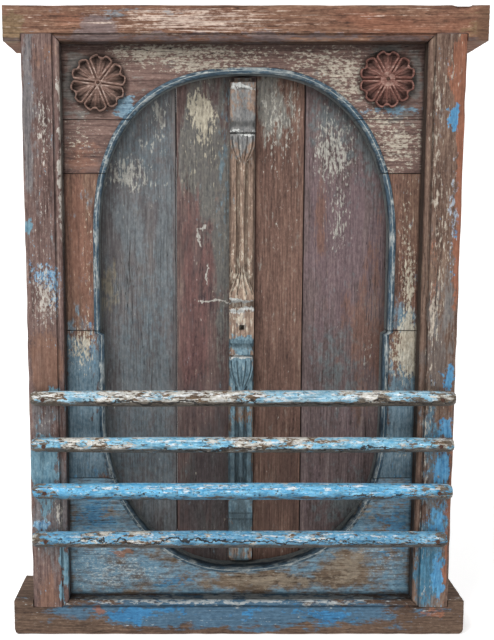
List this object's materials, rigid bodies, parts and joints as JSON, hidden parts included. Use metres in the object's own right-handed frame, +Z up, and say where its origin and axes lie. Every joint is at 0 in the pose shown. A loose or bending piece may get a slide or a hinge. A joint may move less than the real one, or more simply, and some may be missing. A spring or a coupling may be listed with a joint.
{
  "type": "arched window frame with plank shutters",
  "caption": "Weathered wooden window with an arched surround, plank shutters on pintles, a carved astragal, guard rods and carved rosettes, in worn blue and cream paint.",
  "frame": {"origin": "on the ground under the middle of the sill", "axes": "+Z up along the stiles, +Y to the back of the window, +X to the right as seen from the front"},
  "size_m": [0.742, 0.131, 1],
  "materials": {
    "frame_wood": "weathered teak with remains of blue and cream paint",
    "surround_wood": "weathered teak with worn grey, teal and cream paint",
    "shutter_wood": "weathered teak planks with worn slate paint",
    "astragal_wood": "carved teak with worn cream and teal paint",
    "rosette_wood": "bare carved wood, dark in the hollows",
    "rod_paint": "turned wood with flaking sky blue and white paint",
    "nail_iron": "rusty forged iron"
  },
  "bodies": {
    "frame": {"head": "frame_wood", "sill": "frame_wood", "stile_left": "frame_wood", "stile_right": "frame_wood", "top_board": "surround_wood", "corner_board_left": "surround_wood", "corner_board_right": "surround_wood", "side_board_upper_left": "surround_wood", "side_board_upper_right": "surround_wood", "side_board_lower_left": "surround_wood", "side_board_lower_right": "surround_wood", "bottom_board": "surround_wood", "rosette_left": "rosette_wood", "rosette_left_nail": "nail_iron", "rosette_right": "rosette_wood", "rosette_right_nail": "nail_iron", "rod_1": "rod_paint", "rod_1_nail_left": "nail_iron", "rod_1_nail_right": "nail_iron", "rod_2": "rod_paint", "rod_2_nail_left": "nail_iron", "rod_2_nail_right": "nail_iron", "rod_3": "rod_paint", "rod_3_nail_left": "nail_iron", "rod_3_nail_right": "nail_iron", "rod_4": "rod_paint", "rod_4_nail_left": "nail_iron", "rod_4_nail_right": "nail_iron"},
    "left_leaf": {"left_leaf_outer_board": "shutter_wood", "left_leaf_inner_board": "shutter_wood", "left_leaf_top_ledge": "shutter_wood", "left_leaf_bottom_ledge": "shutter_wood", "astragal": "astragal_wood"},
    "right_leaf": {"right_leaf_outer_board": "shutter_wood", "right_leaf_inner_board": "shutter_wood", "right_leaf_top_ledge": "shutter_wood", "right_leaf_bottom_ledge": "shutter_wood"}
  },
  "joints": [
    {"name": "left_shutter", "type": "hinge", "parent": "frame", "child": "left_leaf", "pos_m": [-0.268, 0.0275, 0.5], "axis": [0, 0, 1], "range_deg": [0, 90]},
    {"name": "right_shutter", "type": "hinge", "parent": "frame", "child": "right_leaf", "pos_m": [0.268, 0.0275, 0.5], "axis": [0, 0, -1], "range_deg": [0, 90]}
  ]
}
